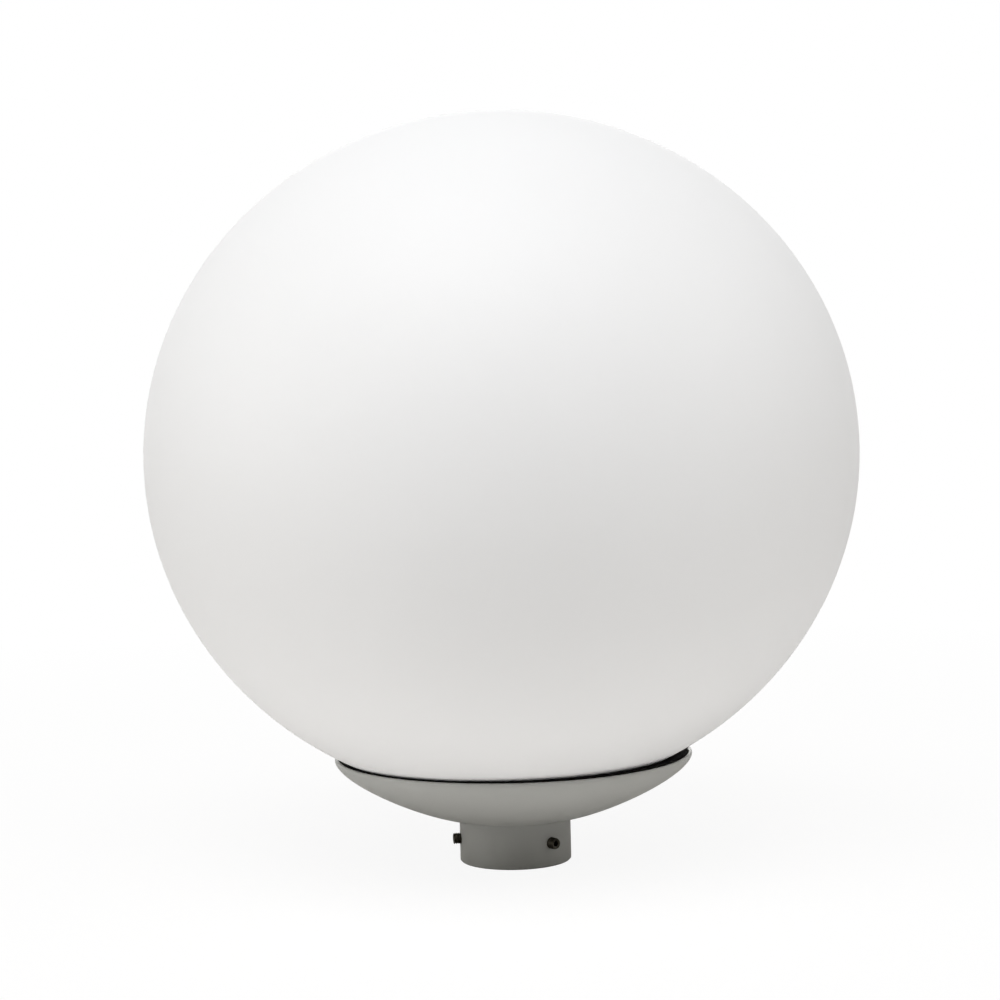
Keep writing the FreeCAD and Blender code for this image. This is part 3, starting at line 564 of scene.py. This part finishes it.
# Lampholder. A strip of zinc-coated steel bridges the gland and carries a white glazed
# porcelain holder, which is screwed down from inside its well.
dressed("lampholder_bracket", zinc_sheet)
bracket_screw_reach = 27.5
bracket_sheet = 1.5
bracket_screws = []
for side in (-1, 1):
    place = (0, side * bracket_screw_reach, plate_top + bracket_sheet)
    bracket_screws.append((m4_screw(), place, upwards))
fitted(
    "threaded_bracket_screws", driven(bracket_screws), zinc_steel, "base", ["bracket_screws"],
)

porcelain = finish(
    "porcelain", colour=(0.80, 0.79, 0.75), drift=(0.84, 0.83, 0.80), grain=0.01,
    roughness=(0.08, 0.16), relief=0.00002, relief_grain=0.003,
)
dressed("lampholder_body", porcelain)
holder_seat = 99.5
holder_screw_spread = 11.0
holder_screw_length = 13.7
m3_head_height = 1.8


def m3_screw(length):
    """An M3 cap screw with a low head."""
    return socket_screw(
        radius=1.5, length=length, pitch=0.5, key=2.0, key_depth=0.9, head_radius=2.8,
        head_height=m3_head_height,
    )


holder_screws = []
for side in (-1, 1):
    place = (0, side * holder_screw_spread, holder_seat - m3_head_height)
    holder_screws.append((m3_screw(holder_screw_length), place, upwards))
fitted(
    "threaded_holder_screws", driven(holder_screws), zinc_steel, "base", ["lampholder_screws"],
)

# Screw shell and centre contact. The shell is nickel-plated brass with its thread rolled in,
# and the contact is a sprung strip of brass.
rolled_pitch = 3.63


def rolled(shape, depth, low, high):
    """Rolls a round thread into thin sheet: the skin goes in and out along a helix."""
    for corner in shape.verts:
        height = corner.co.z / mm
        reach = math.hypot(corner.co.x, corner.co.y) / mm
        if low < height < high and reach > on_axis:
            turn = math.atan2(corner.co.y, corner.co.x) / math.tau
            ease = min(1.0, (height - low) / rolled_pitch, (high - height) / rolled_pitch)
            wave = (1 - math.cos(math.tau * (height / rolled_pitch - turn))) / 2
            pull = 1 - ease * depth * wave / reach
            corner.co.x *= pull
            corner.co.y *= pull
    return shape


shell_inside, shell_outside = 13.6, 13.9
shell_low, shell_high = 104.5, 128.5
shell_tall = shell_high - shell_low
shell_rows = 72
shell_thread_depth = 0.4
thin_sheet_steps = 72
section = [(shell_outside, shell_low + shell_tall * step / shell_rows) for step in range(shell_rows + 1)]
section += [(shell_inside, shell_high - shell_tall * step / shell_rows) for step in range(shell_rows + 1)]
shell_shape = rolled(turned_shape(section, thin_sheet_steps), shell_thread_depth, shell_low, shell_high)
nickel = finish(
    "nickel", colour=(0.66, 0.62, 0.54), drift=(0.58, 0.55, 0.49), grain=0.004,
    roughness=(0.18, 0.3), metal=1.0,
)
fitted("rolled_shell", shell_shape, nickel, "base", ["lampholder_shell"])
brass = finish(
    "brass", colour=(0.66, 0.46, 0.17), drift=(0.55, 0.37, 0.13), grain=0.003,
    roughness=(0.2, 0.36), metal=1.0, along=(1, 5, 1),
)
dressed("lampholder_contact", brass)

# Lamp. A screw-in lamp stands in the holder: a blown bulb, coated white inside, in a rolled
# aluminium cap, with a black glass insulator and a solder button under it.
cap_foot, cap_top = 108.1, 132.1
cap_radius = 13.05
cap_thickness = 0.4
cap_inside = cap_radius - cap_thickness
cap_hole_radius = 10.1
cap_floor_radius = 11.0
cap_corner_radius, cap_corner_rise = 12.2, 0.5
lip_outside, lip_inside = 14.25, 13.75
lip_foot_radius, lip_foot_drop = 14.0, 0.3
funnel_radius, funnel_drop = 13.72, 0.8
cap_rim = 1.8
cap_low, cap_high = cap_foot + cap_rim, cap_top - cap_rim
cap_tall = cap_high - cap_low
cap_rows = 66
cap_thread_depth = 0.7
section = [(cap_hole_radius, cap_foot), (cap_floor_radius, cap_foot)]
section.append((cap_corner_radius, cap_foot + cap_corner_rise))
section += [(cap_radius, cap_low + cap_tall * step / cap_rows) for step in range(cap_rows + 1)]
section += [(lip_foot_radius, cap_top - lip_foot_drop), (lip_outside, cap_top)]
section += [(lip_inside, cap_top), (funnel_radius, cap_top - funnel_drop)]
section += [(cap_inside, cap_high - cap_tall * step / cap_rows) for step in range(cap_rows + 1)]
cap_shape = rolled(turned_shape(section, thin_sheet_steps), cap_thread_depth, cap_low, cap_high)
cap_metal = finish(
    "cap_metal", colour=(0.62, 0.61, 0.59), drift=(0.54, 0.53, 0.51), grain=0.005,
    roughness=(0.24, 0.38), metal=1.0,
)
fitted("rolled_cap", cap_shape, cap_metal, "lamp", ["lamp_cap"])

bulb_radius = 30.0
bulb_neck_radius = 13.6
bulb_glass = 1.0
bulb_shoulder = 180.1
bulb_foot = 130.6
bulb_pull = (bulb_shoulder - bulb_foot) * 0.36
bulb_steps = 96
flank_points = 32
dome_steps = 24


def bulb_points(inset):
    """The bulb's section from its neck to its crown, set in by the glass."""
    neck, wide = bulb_neck_radius - inset, bulb_radius - inset
    poles = [
        Vector((neck, bulb_foot)), Vector((neck, bulb_foot + bulb_pull)),
        Vector((wide, bulb_shoulder - bulb_pull)), Vector((wide, bulb_shoulder)),
    ]
    points = [(p.x, p.y) for p in interpolate_bezier(*poles, flank_points)]
    for step in range(1, dome_steps):
        angle = math.pi / 2 * step / dome_steps
        points.append((wide * math.cos(angle), bulb_shoulder + wide * math.sin(angle)))
    return points + [(0, bulb_shoulder + wide)]


bulb_shape = turned_shape(bulb_points(0)[::-1] + bulb_points(bulb_glass), bulb_steps, closed=False)
frosted_glass = finish(
    "frosted_glass", colour=(0.86, 0.86, 0.84), drift=(0.88, 0.88, 0.87), grain=0.02,
    roughness=(0.1, 0.16),
)
fitted("blown_bulb", bulb_shape, frosted_glass, "lamp", ["lamp_bulb"])
black_glass = finish(
    "black_glass", colour=(0.012, 0.012, 0.016), drift=(0.02, 0.02, 0.03), grain=0.003,
    roughness=(0.06, 0.14),
)
dressed("lamp_insulator", black_glass)
solder = finish(
    "solder", colour=(0.46, 0.46, 0.47), drift=(0.36, 0.36, 0.38), grain=0.002,
    roughness=(0.3, 0.5), metal=1.0, relief=0.00006, relief_grain=0.0015,
)
dressed("lamp_contact", solder)

# Terminal block. A white nylon block of three poles is screwed to the plate. Each pole has a
# brass sleeve for its wires and two slotted screws that pinch them.
white_nylon = finish(
    "white_nylon", colour=(0.74, 0.73, 0.69), drift=(0.78, 0.77, 0.73), grain=0.006,
    roughness=(0.4, 0.5), relief=0.00002, relief_grain=0.0006,
)
dressed("terminal_block", white_nylon)
dressed("terminal_sleeves", brass)
dressed("terminal_screws", zinc_steel)
block_middle, block_top = 20.25, 73.5
fixing_screw_spread = 4.5
fixing_screw_length = 15.0
fixing_screws = []
for side in (-1, 1):
    place = (block_middle, side * fixing_screw_spread, block_top)
    fixing_screws.append((m3_screw(fixing_screw_length), place, upwards))
fitted(
    "threaded_fixing_screws", driven(fixing_screws), zinc_steel, "base",
    ["terminal_fixing_screws"],
)

# Earth screw. An M4 cap screw and a brass washer pin the earth wire to the plate, at the
# fourth corner of the plate's screws.
dressed("earth_washer", brass)
earth_screw_angle = 315
earth_seat = 62.85
earth_screw = [(m4_screw(), bearing(plate_screw_circle, earth_screw_angle, earth_seat), upwards)]
fitted("threaded_earth_screw", driven(earth_screw), zinc_steel, "base", ["earth_screw"])

# Wires. Two insulated wires rise from the block to the holder, brown and blue, and a short
# green one with a yellow stripe goes to the earth screw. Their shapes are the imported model's.


def insulation(name, colour, drift):
    """The smooth plastic skin of a wire."""
    return finish(name, colour, drift, grain=0.004, roughness=(0.38, 0.48))


brown_wire = insulation("brown_wire", (0.13, 0.05, 0.022), (0.16, 0.065, 0.03))
blue_wire = insulation("blue_wire", (0.02, 0.09, 0.36), (0.03, 0.11, 0.42))
green_wire = insulation("green_wire", (0.05, 0.30, 0.05), (0.06, 0.34, 0.06))
stripe_side = (-0.45, 0.89, 0.0)
stripe_reach = 0.62
stripe_yellow = (0.75, 0.55, 0.03, 1)
nodes, links = green_wire.node_tree.nodes, green_wire.node_tree.links
skin_side = nodes.new("ShaderNodeTexCoord")
towards_stripe = nodes.new("ShaderNodeVectorMath")
towards_stripe.operation = "DOT_PRODUCT"
towards_stripe.inputs[1].default_value = stripe_side
either_side = nodes.new("ShaderNodeMath")
either_side.operation = "ABSOLUTE"
in_stripe = nodes.new("ShaderNodeMath")
in_stripe.operation = "GREATER_THAN"
in_stripe.inputs[1].default_value = stripe_reach
striped = nodes.new("ShaderNodeMix")
striped.data_type = "RGBA"
striped.inputs[7].default_value = stripe_yellow
links.new(skin_side.outputs["Normal"], towards_stripe.inputs[0])
links.new(towards_stripe.outputs["Value"], either_side.inputs[0])
links.new(either_side.outputs[0], in_stripe.inputs[0])
links.new(in_stripe.outputs[0], striped.inputs[0])
links.new(nodes["tone"].outputs[2], striped.inputs[6])
links.new(striped.outputs[2], nodes["Principled BSDF"].inputs["Base Color"])
dressed("lead_live", brown_wire)
dressed("lead_neutral", blue_wire)
dressed("lead_earth", green_wire)
